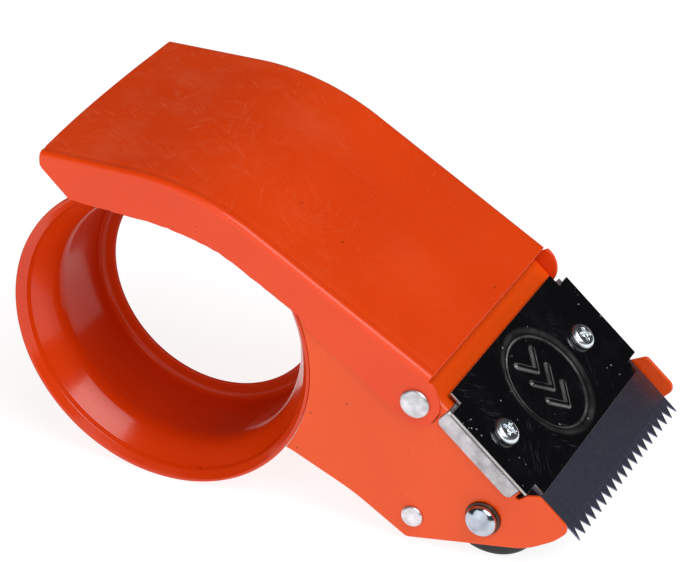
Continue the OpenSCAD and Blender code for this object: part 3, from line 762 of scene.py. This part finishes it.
for s in saddle_s:
    from_end = min(s, length - s)
    lip = SADDLE_LIP - (lip_r - math.sqrt(max(lip_r ** 2 - (lip_r - from_end) ** 2, 0))
                        if from_end < lip_r else 0)
    side = [(0.0, -lip), (0.0, -SADDLE_FOLD - (lip - SADDLE_FOLD) * 0.5)]
    side += [(SADDLE_FOLD * (1 - math.cos(a)), -SADDLE_FOLD * (1 - math.sin(a)))
             for a in (math.pi / 2 * k / half_section for k in range(half_section + 1))]
    side += [(SADDLE_FOLD + 0.4, 0.0)]
    whole = ([(-SADDLE_HALF + y, n) for y, n in side]
             + [(SADDLE_HALF * k / 4, 0.0) for k in range(-3, 4)]
             + [(SADDLE_HALF - y, n) for y, n in reversed(side)])
    saddle_verts += [(SADDLE_S[0] + s, y, saddle_top + n) for y, n in whole]
width = len(whole)
for i in range(len(saddle_s) - 1):
    saddle_faces += [(i * width + j, (i + 1) * width + j, (i + 1) * width + j + 1,
                      i * width + j + 1) for j in range(width - 1)]
saddle = make_piece("blade_saddle_strip", saddle_verts, saddle_faces, AT_NOSE)
merge_points(saddle)
finish_sheet(saddle, SADDLE_T, 0.16)
saddle_zinc, tree, shader, coords = new_finish("streaked_zinc_plate")
shader.inputs["Metallic"].default_value = 1.0
streak = noise_of(tree, coords, 700, 4, 0.65, (0.28, 1, 0.28))
patch = noise_of(tree, coords, 240, 3, 0.6)
tone = ramp(tree, mathn(tree, "ADD", mathn(tree, "MULTIPLY", streak, 0.6),
                        mathn(tree, "MULTIPLY", patch, 0.4)), 0.36, 0.64)
tree.links.new(blend_colour(tree, tone, (0.34, 0.33, 0.34, 1), (0.66, 0.63, 0.66, 1)),
               shader.inputs["Base Color"])
tree.links.new(ramp(tree, tone, 0.0, 1.0, 0.55, 0.38), shader.inputs["Roughness"])
tree.links.new(shade(tree, "ShaderNodeBump", {"Strength": 0.3, "Distance": 0.0001,
                                              "Height": streak}).outputs[0],
               shader.inputs["Normal"])
dress(saddle, saddle_zinc, "dispenser", "zinc_saddle", "blade_saddle")

# ---- Serrated blade ----
# A dark steel strip with fine lines that run towards its teeth. It is one tooth space repeated
# over the width, with a small bevel at the teeth.
BLADE_W, TIP_S, TOOTH_D, TOOTH_N, BLADE_REAR = 70.4, 51.6, 3.5, 19, 9.0
BLADE_Y, SKEW = 0.9, 1.0
BEVEL_S, TOOTH_EDGE = 1.1, 0.4
pitch = BLADE_W / TOOTH_N
ROOT_S = TIP_S - TOOTH_D


def repeat_tree(name):
    """A tree that sets copies of its mesh in a row, joins points that meet and paints them."""
    tree = bpy.data.node_groups.new(name, "GeometryNodeTree")
    tree.interface.new_socket("Geometry", in_out="INPUT", socket_type="NodeSocketGeometry")
    for label, kind in (("Copies", "NodeSocketInt"), ("Step", "NodeSocketVector"),
                        ("Turn", "NodeSocketVector"), ("Finish", "NodeSocketMaterial")):
        tree.interface.new_socket(label, in_out="INPUT", socket_type=kind)
    tree.interface.new_socket("Geometry", in_out="OUTPUT", socket_type="NodeSocketGeometry")
    given = tree.nodes.new("NodeGroupInput").outputs
    row = shade(tree, "GeometryNodeMeshLine", {"Count": given["Copies"],
                                               "Offset": given["Step"]}, mode="OFFSET")
    index = shade(tree, "GeometryNodeInputIndex").outputs[0]
    turn = shade(tree, "ShaderNodeVectorMath", {0: given["Turn"], "Scale": index},
                 operation="SCALE").outputs[0]
    placed = shade(tree, "GeometryNodeInstanceOnPoints", {
        "Points": row.outputs[0], "Instance": given["Geometry"], "Rotation": turn})
    real = shade(tree, "GeometryNodeRealizeInstances", {0: placed.outputs[0]})
    joined = shade(tree, "GeometryNodeMergeByDistance", {"Geometry": real.outputs[0],
                                                         "Distance": 0.000004})
    painted = shade(tree, "GeometryNodeSetMaterial", {"Geometry": joined.outputs[0],
                                                      "Material": given["Finish"]})
    out = tree.nodes.new("NodeGroupOutput")
    tree.links.new(painted.outputs[0], out.inputs[0])
    return tree


row_of_copies = repeat_tree("row_of_copies")


def repeat(obj, copies, step, turn, mat):
    """Runs the row tree on one piece and keeps the result as its plain mesh."""
    run = obj.modifiers.new("row", "NODES")
    ids = {item.name: item.identifier for item in row_of_copies.interface.items_tree
           if item.in_out == "INPUT"}
    run.node_group = row_of_copies
    run[ids["Copies"]] = copies
    run[ids["Step"]] = step
    run[ids["Turn"]] = turn
    run[ids["Finish"]] = mat
    bake(obj)


def move_mesh(obj, matrix):
    """Moves the mesh itself, in mm, so that the object stays at the origin."""
    scaled = matrix.copy()
    scaled.translation = scaled.translation * 0.001
    obj.data.transform(scaled)
    obj.data.update()


top_n, low_n, thin = BLADE_T, 0.0, TOOTH_EDGE
flat_end, half_way = ROOT_S - BEVEL_S, pitch / 2
flank_s, flank_n = ROOT_S + 1.2, BLADE_T * 0.9
unit = [(BLADE_REAR, 0, top_n), (BLADE_REAR, pitch, top_n), (flat_end, pitch, top_n),
        (flat_end, half_way, top_n), (flat_end, 0, top_n), (ROOT_S, half_way, thin),
        (TIP_S, 0, thin), (TIP_S, pitch, thin),
        (BLADE_REAR, 0, low_n), (BLADE_REAR, pitch, low_n), (flat_end, pitch, low_n),
        (flat_end, half_way, low_n), (flat_end, 0, low_n), (ROOT_S, half_way, low_n),
        (TIP_S, 0, low_n), (TIP_S, pitch, low_n),
        (flank_s, 0, flank_n), (flank_s, pitch, flank_n)]
unit_faces = [(0, 4, 3, 2, 1), (4, 16, 5, 3), (2, 3, 5, 17), (16, 6, 5), (17, 5, 7),
              (8, 9, 10, 11, 12), (12, 11, 13, 14), (10, 15, 13, 11),
              (0, 1, 9, 8), (5, 6, 14, 13), (7, 5, 13, 15)]
blade = make_piece("cutter_blade_strip", unit, unit_faces)
for f in blade.data.polygons:
    f.use_smooth = False
blade_steel, tree, shader, coords = new_finish("blued_spring_steel")
shader.inputs["Metallic"].default_value = 1.0
local = shade(tree, "ShaderNodeMapping", {0: coords, 2: (0, -NOSE_ANGLE, 0)},
              vector_type="TEXTURE").outputs[0]
fine = noise_of(tree, local, 2600, 3, 0.7, (0.03, 1, 1))
broad = noise_of(tree, local, 420, 4, 0.6, (0.06, 1, 1))
spots = noise_of(tree, coords, 520, 3, 0.7)
tone = mathn(tree, "ADD", mathn(tree, "MULTIPLY", fine, 0.6), mathn(tree, "MULTIPLY", broad, 0.4))
steel = blend_colour(tree, ramp(tree, tone, 0.32, 0.68), (0.07, 0.08, 0.125, 1),
                     (0.24, 0.26, 0.36, 1))
steel = blend_colour(tree, ramp(tree, spots, 0.7, 0.74), steel, (0.62, 0.63, 0.68, 1))
tree.links.new(steel, shader.inputs["Base Color"])
tree.links.new(ramp(tree, tone, 0.3, 0.7, 0.52, 0.34), shader.inputs["Roughness"])
tree.links.new(shade(tree, "ShaderNodeBump", {"Strength": 0.35, "Distance": 0.0001,
                                              "Height": fine}).outputs[0],
               shader.inputs["Normal"])
repeat(blade, TOOTH_N, (0, pitch * 0.001, 0), (0, 0, 0), blade_steel)
# the two sheared ends close the strip
bm = bmesh.new()
bm.from_mesh(blade.data)
bmesh.ops.holes_fill(bm, edges=[e for e in bm.edges if e.is_boundary])
# it sits a little askew
for v in bm.verts:
    v.co.x -= (0.001 * SKEW - v.co.y * SKEW / BLADE_W)
bmesh.ops.recalc_face_normals(bm, faces=bm.faces)
bm.to_mesh(blade.data)
bm.free()
move_mesh(blade, AT_NOSE @ Matrix.Translation((0, BLADE_Y - BLADE_W / 2, -CLAMP_T - BLADE_T)))
dress(blade, blade_steel, "dispenser", "blade_steel", "cutter_blade")

# ---- Clamp plate ----
# A pressed steel plate with black lacquer on its faces and bare edges holds the blade down. A
# round panel with three chevrons is pressed into it.
CLAMP_HALF, WING_HALF, WING_S, CLAMP_END = 33.7, 39.1, (3.8, 32.0), 35.5
PANEL, PANEL_R = (17.9, 0.6), 14.2
SLOPE_W, SLOPE_DEEP, WALL_W, WALL_DEEP = 2.4, 0.42, 0.8, 0.34
CHEVRON_GAP, CHEVRON_TIP, CHEVRON_ARM, CHEVRON_H, CHEVRON_HALF = 6.2, 2.2, (-2.6, 5.0), 0.6, 0.7
SCREW_S, SCREW_Y = 17.5, (-28.6, 24.3)
cell = 0.32


def ruled(marks):
    """Grid lines through every mark, no further apart than a cell."""
    out = [marks[0]]
    for a, b in zip(marks, marks[1:]):
        n = max(1, round((b - a) / cell))
        out += [a + (b - a) * (k + 1) / n for k in range(n)]
    return out


def smooth_step(v):
    v = min(max(v, 0.0), 1.0)
    return v * v * (3 - 2 * v)


def stroke(s, y, a, b, half):
    """1 inside a rounded stroke from a to b, falling to 0 just outside it."""
    p, a, b = Vector((s, y)), Vector(a), Vector(b)
    t = min(max((p - a).dot(b - a) / (b - a).length_squared, 0), 1)
    return smooth_step((half + 0.45 - (p - a.lerp(b, t)).length) / 0.75)


def pressed(s, y):
    """Height of the pressing: a sunken disc with a soft outer slope and raised chevrons."""
    ds, dy = s - PANEL[0], y - PANEL[1]
    r = math.hypot(ds, dy)
    if r > PANEL_R + SLOPE_W:
        return 0.0
    h = -SLOPE_DEEP * smooth_step((PANEL_R + SLOPE_W - r) / SLOPE_W)
    h -= WALL_DEEP * smooth_step((PANEL_R - r) / WALL_W)
    raised = 0.0
    for k in (-CHEVRON_GAP, 0.0, CHEVRON_GAP):
        for m in (-1, 1):
            arm = (k + CHEVRON_ARM[0], m * CHEVRON_ARM[1])
            raised = max(raised, stroke(ds, dy, (k + CHEVRON_TIP, 0), arm, CHEVRON_HALF))
    return h + CHEVRON_H * raised


s_lines = ruled([0.0, WING_S[0], WING_S[1], CLAMP_END])
y_lines = ruled([-WING_HALF, -CLAMP_HALF, CLAMP_HALF, WING_HALF])
cols = len(y_lines)
plate_verts = [(s, y, pressed(s, y)) for s in s_lines for y in y_lines]
plate_faces = []
for i in range(len(s_lines) - 1):
    for j in range(cols - 1):
        mid_s, mid_y = (s_lines[i] + s_lines[i + 1]) / 2, (y_lines[j] + y_lines[j + 1]) / 2
        if WING_S[0] < mid_s < WING_S[1] or abs(mid_y) < CLAMP_HALF:
            a = i * cols + j
            plate_faces.append((a, a + 1, a + cols + 1, a + cols))
clamp = make_piece("clamp_plate_pressing", plate_verts, plate_faces, AT_NOSE)
# the lacquer is painted grey wherever the pressing is steep, a painted reflection, so that its lines
# show against the black
painted_reflection_attr = clamp.data.attributes.new("painted_reflection", "FLOAT", "POINT")
for k, (s, y, h) in enumerate(plate_verts):
    steep = math.hypot(pressed(s + 0.1, y) - pressed(s - 0.1, y),
                       pressed(s, y + 0.1) - pressed(s, y - 0.1)) / 0.2
    painted_reflection_attr.data[k].value = smooth_step(steep / 0.75)
bm = bmesh.new()
bm.from_mesh(clamp.data)
bmesh.ops.delete(bm, geom=[v for v in bm.verts if not v.link_faces], context="VERTS")
bmesh.ops.recalc_face_normals(bm, faces=bm.faces)
if sum((f.normal.z for f in bm.faces)) < 0:
    bmesh.ops.reverse_faces(bm, faces=bm.faces)
bm.to_mesh(clamp.data)
bm.free()
solid = clamp.modifiers.new("thickness", "SOLIDIFY")
solid.thickness = CLAMP_T * 0.001
solid.offset = -1
solid.material_offset_rim = 1
edge_steel = metal("bare_sheared_edge", (0.55, 0.54, 0.52, 1), 0.35, (1, 1, 1), 900.0, 0.3)
lacquer, tree, shader, coords = new_finish("black_lacquer")
wear = noise_of(tree, coords, 75, 6, 0.7)
specks = shade(tree, "ShaderNodeTexVoronoi", {"Vector": coords, "Scale": 480.0}).outputs[0]
specks = mathn(tree, "MULTIPLY", ramp(tree, specks, 0.08, 0.15, 1.0, 0.0),
               ramp(tree, noise_of(tree, coords, 120, 4), 0.56, 0.64))
scratch = mathn(tree, "MAXIMUM", hairlines(tree, coords, 0.9, 0.57, 0.06),
                hairlines(tree, coords, 2.2, 1.91, 0.04))
marks = mathn(tree, "MAXIMUM", mathn(tree, "MULTIPLY", specks, 0.7),
              mathn(tree, "MULTIPLY", scratch, 0.07))
film = blend_colour(tree, ramp(tree, wear, 0.5, 0.8), (0.002, 0.002, 0.003, 1),
                    (0.008, 0.008, 0.010, 1))
# painted reflection: grey on the steep parts of the pressing, made patchy by noise
painted_reflection = shade(tree, "ShaderNodeAttribute", attribute_name="painted_reflection").outputs["Fac"]
painted_reflection = mathn(tree, "MULTIPLY", painted_reflection, ramp(tree, noise_of(tree, coords, 160, 3), 0.35, 0.7,
                                              0.25, 1.0))
film = blend_colour(tree, painted_reflection, film, (0.16, 0.15, 0.15, 1))
tree.links.new(blend_colour(tree, marks, film, (0.5, 0.5, 0.5, 1)), shader.inputs["Base Color"])
tree.links.new(mathn(tree, "ADD", ramp(tree, wear, 0.3, 0.8, 0.08, 0.14),
                     mathn(tree, "MULTIPLY", marks, 0.4)), shader.inputs["Roughness"])
tree.links.new(shade(tree, "ShaderNodeBump", {
    "Strength": 0.12, "Distance": 0.0002, "Height": noise_of(tree, coords, 420, 2)}).outputs[0],
    shader.inputs["Normal"])
clamp.data.materials.append(lacquer)
clamp.data.materials.append(edge_steel)
round_edges(clamp, 0.09, 2, 60)
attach(clamp, "dispenser")
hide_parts("clamp_plate")

# ---- Blade screws and their nuts ----
# Two zinc-plated pan-head screws with a cross recess go through clamp plate, blade, saddle and
# nose sheet. Their 4 mm shanks and the thin hexagon nut under each are assumed.
HEAD_R, HEAD_H, SHANK_R, SCREW_NUT_T = 3.8, 2.3, 2.0, 2.2
shank_end = NOSE_TOP - SHEET - SCREW_NUT_T - 0.6
rings, per = 26, 120
WING_W, WING_LEN, WING_DEEP, RECESS_R, RECESS_DEEP = 0.62, 2.15, 1.35, 1.25, 1.5
SHOULDER_R, CROWN_H = 1.3, 0.22


def recess(x, y):
    """Depth of the cross recess, with tapered flanks and a deeper middle."""
    depth = 0.0
    for a, b in ((x, y), (y, x)):
        across_wing = smooth_step((WING_W - abs(a)) / 0.28)
        along_wing = smooth_step((WING_LEN - abs(b)) / 0.5)
        depth = max(depth, across_wing * along_wing * (WING_DEEP - 0.22 * abs(b)))
    return max(depth, RECESS_DEEP * smooth_step((RECESS_R - math.hypot(x, y)) / 0.7))


def head_height(r):
    """The pan head's crown: nearly flat on top with a well-rounded shoulder."""
    crown = CROWN_H * (1 - (r / HEAD_R) ** 2)
    edge = max(r - (HEAD_R - SHOULDER_R), 0)
    drop = SHOULDER_R - math.sqrt(max(SHOULDER_R ** 2 - edge * edge, 0))
    return HEAD_H - CROWN_H + crown - drop


screw_verts = [(0, 0, head_height(0) - recess(0, 0))]
for i in range(1, rings + 1):
    r = HEAD_R * math.sin(math.pi / 2 * i / rings) if i > 18 else HEAD_R * 0.887 * i / 18
    for k in range(per):
        a = 2 * math.pi * k / per
        x, y = r * math.cos(a), r * math.sin(a)
        screw_verts.append((x, y, head_height(r) - recess(x, y)))
skirt = [(HEAD_R, 0.25), (HEAD_R - 0.15, 0.02), (SHANK_R, 0.0), (SHANK_R, shank_end + 0.4),
         (SHANK_R - 0.4, shank_end)]
for r, h in skirt:
    screw_verts += [(r * math.cos(2 * math.pi * k / per), r * math.sin(2 * math.pi * k / per), h)
                    for k in range(per)]
screw_faces = [(0, 1 + k, 1 + (k + 1) % per) for k in range(per)]
loops = rings + len(skirt)
for i in range(loops - 1):
    a, b = 1 + i * per, 1 + (i + 1) * per
    screw_faces += [(a + k, b + k, b + (k + 1) % per, a + (k + 1) % per) for k in range(per)]
screw_faces.append(tuple(1 + (loops - 1) * per + k for k in reversed(range(per))))
screws = make_piece("blade_screws_pair", screw_verts, screw_faces,
                    Matrix.Rotation(math.radians(24), 4, "Z"))
screw_zinc = metal("bright_zinc_plate", (0.86, 0.92, 0.97, 1), 0.24, (1, 1, 1), 420.0, 0.4, 0.12)
gap = (SCREW_Y[1] - SCREW_Y[0]) * 0.001
repeat(screws, 2, (0, gap, 0), (0, 0, 0.62), screw_zinc)
move_mesh(screws, AT_NOSE @ Matrix.Translation((SCREW_S, SCREW_Y[0], 0)))
dress(screws, screw_zinc, "dispenser", "zinc_screw", "blade_screw_near", "blade_screw_far")
nuts = hexagon_nut("blade_nuts_pair", 7.0, SHANK_R + 0.03, SCREW_NUT_T,
                   Matrix.Rotation(math.radians(30), 4, "Z"))
repeat(nuts, 2, (0, gap, 0), (0, 0, 0), zinc_dull)
move_mesh(nuts, AT_NOSE @ Matrix.Translation((SCREW_S, SCREW_Y[0],
                                               NOSE_TOP - SHEET - SCREW_NUT_T)))
dress(nuts, zinc_dull, "dispenser", "zinc_nut", "blade_nut_near", "blade_nut_far")

# ---- Cover rivets ----
# A large flat-head rivet, taken as aluminium, joins each ear of the cover to the cheek behind it.
# Its crown is dimpled and its rim is not quite round. The open side's rivet is assumed.
BIG_R, TAIL_R, RIVET_SHANK = 4.15, 3.4, 2.4
rivet_profile = (head_profile(BIG_R, HEAD_T) + [(RIVET_SHANK, 0.0), (RIVET_SHANK, -2 * SHEET)]
                 + [(TAIL_R, -2 * SHEET), (TAIL_R, -2 * SHEET - 0.7),
                    (TAIL_R - 0.4, -2 * SHEET - 1.0), (0.0, -2 * SHEET - 1.0)])
outward_near = (Matrix.Translation((RIVET[0], COVER_Y, RIVET[1]))
                @ Matrix.Rotation(math.radians(90), 4, "X"))
outward_far = at_y(RIVET, COVER_Y + COVER_W)
for end, place in (("near", outward_near), ("far", outward_far)):
    rivet = lathe("cover_rivet_%s_head" % end, rivet_profile, place, 64)
    dress(rivet, rivet_alu, "dispenser", "rivet_aluminium", "cover_rivet_" + end)

# ---- Studio ----
# A wide pale table that gives off light itself, a soft light above the nose and a broad fill in front.
# The side behind the tool stays dark, so the enamel's top faces keep their full colour.
FLOOR_Z = -0.0444
bpy.ops.mesh.primitive_plane_add(size=8, location=(0, 0, FLOOR_Z))
floor = bpy.context.object
floor.name = "table"
white, tree, shader, coords = new_finish("pale_table")
shader.inputs["Base Color"].default_value = (0.32, 0.32, 0.32, 1)
shader.inputs["Roughness"].default_value = 0.9
shader.inputs["Specular IOR Level"].default_value = 0.0
shader.inputs["Emission Color"].default_value = (1, 1, 1, 1)
shader.inputs["Emission Strength"].default_value = 0.86
floor.data.materials.append(white)


def soft_light(name, at, size, power):
    """A square soft light that faces the tool."""
    lamp = bpy.data.lights.new(name, "AREA")
    lamp.shape = "SQUARE"
    lamp.size = size
    lamp.energy = power
    obj = bpy.data.objects.new(name, lamp)
    bpy.context.collection.objects.link(obj)
    obj.location = at
    aim = Vector((0.04, 0.01, 0.0)) - Vector(at)
    obj.rotation_euler = aim.to_track_quat("-Z", "Y").to_euler()


soft_light("key", (0.72, -0.27, 1.06), 1.0, 14.6)
soft_light("fill", (-0.1, -1.25, 0.35), 1.7, 11.0)
world = bpy.data.worlds.new("studio")
world.use_nodes = True
world.node_tree.nodes["Background"].inputs[0].default_value = (1, 1, 1, 1)
world.node_tree.nodes["Background"].inputs[1].default_value = 0.04
bpy.context.scene.world = world
bpy.context.scene.view_settings.view_transform = "Standard"

camera = bpy.data.cameras.new("camera")
camera.lens = 158.13
camera.sensor_width = 36
camera.clip_start = 0.01
eye = bpy.data.objects.new("camera", camera)
bpy.context.collection.objects.link(eye)
eye.location = (0.3386, -0.6180, 0.4080)
look = Vector((-0.3738, 0.7840, -0.4955))
eye.rotation_euler = look.to_track_quat("-Z", "Y").to_euler()
bpy.context.scene.camera = eye
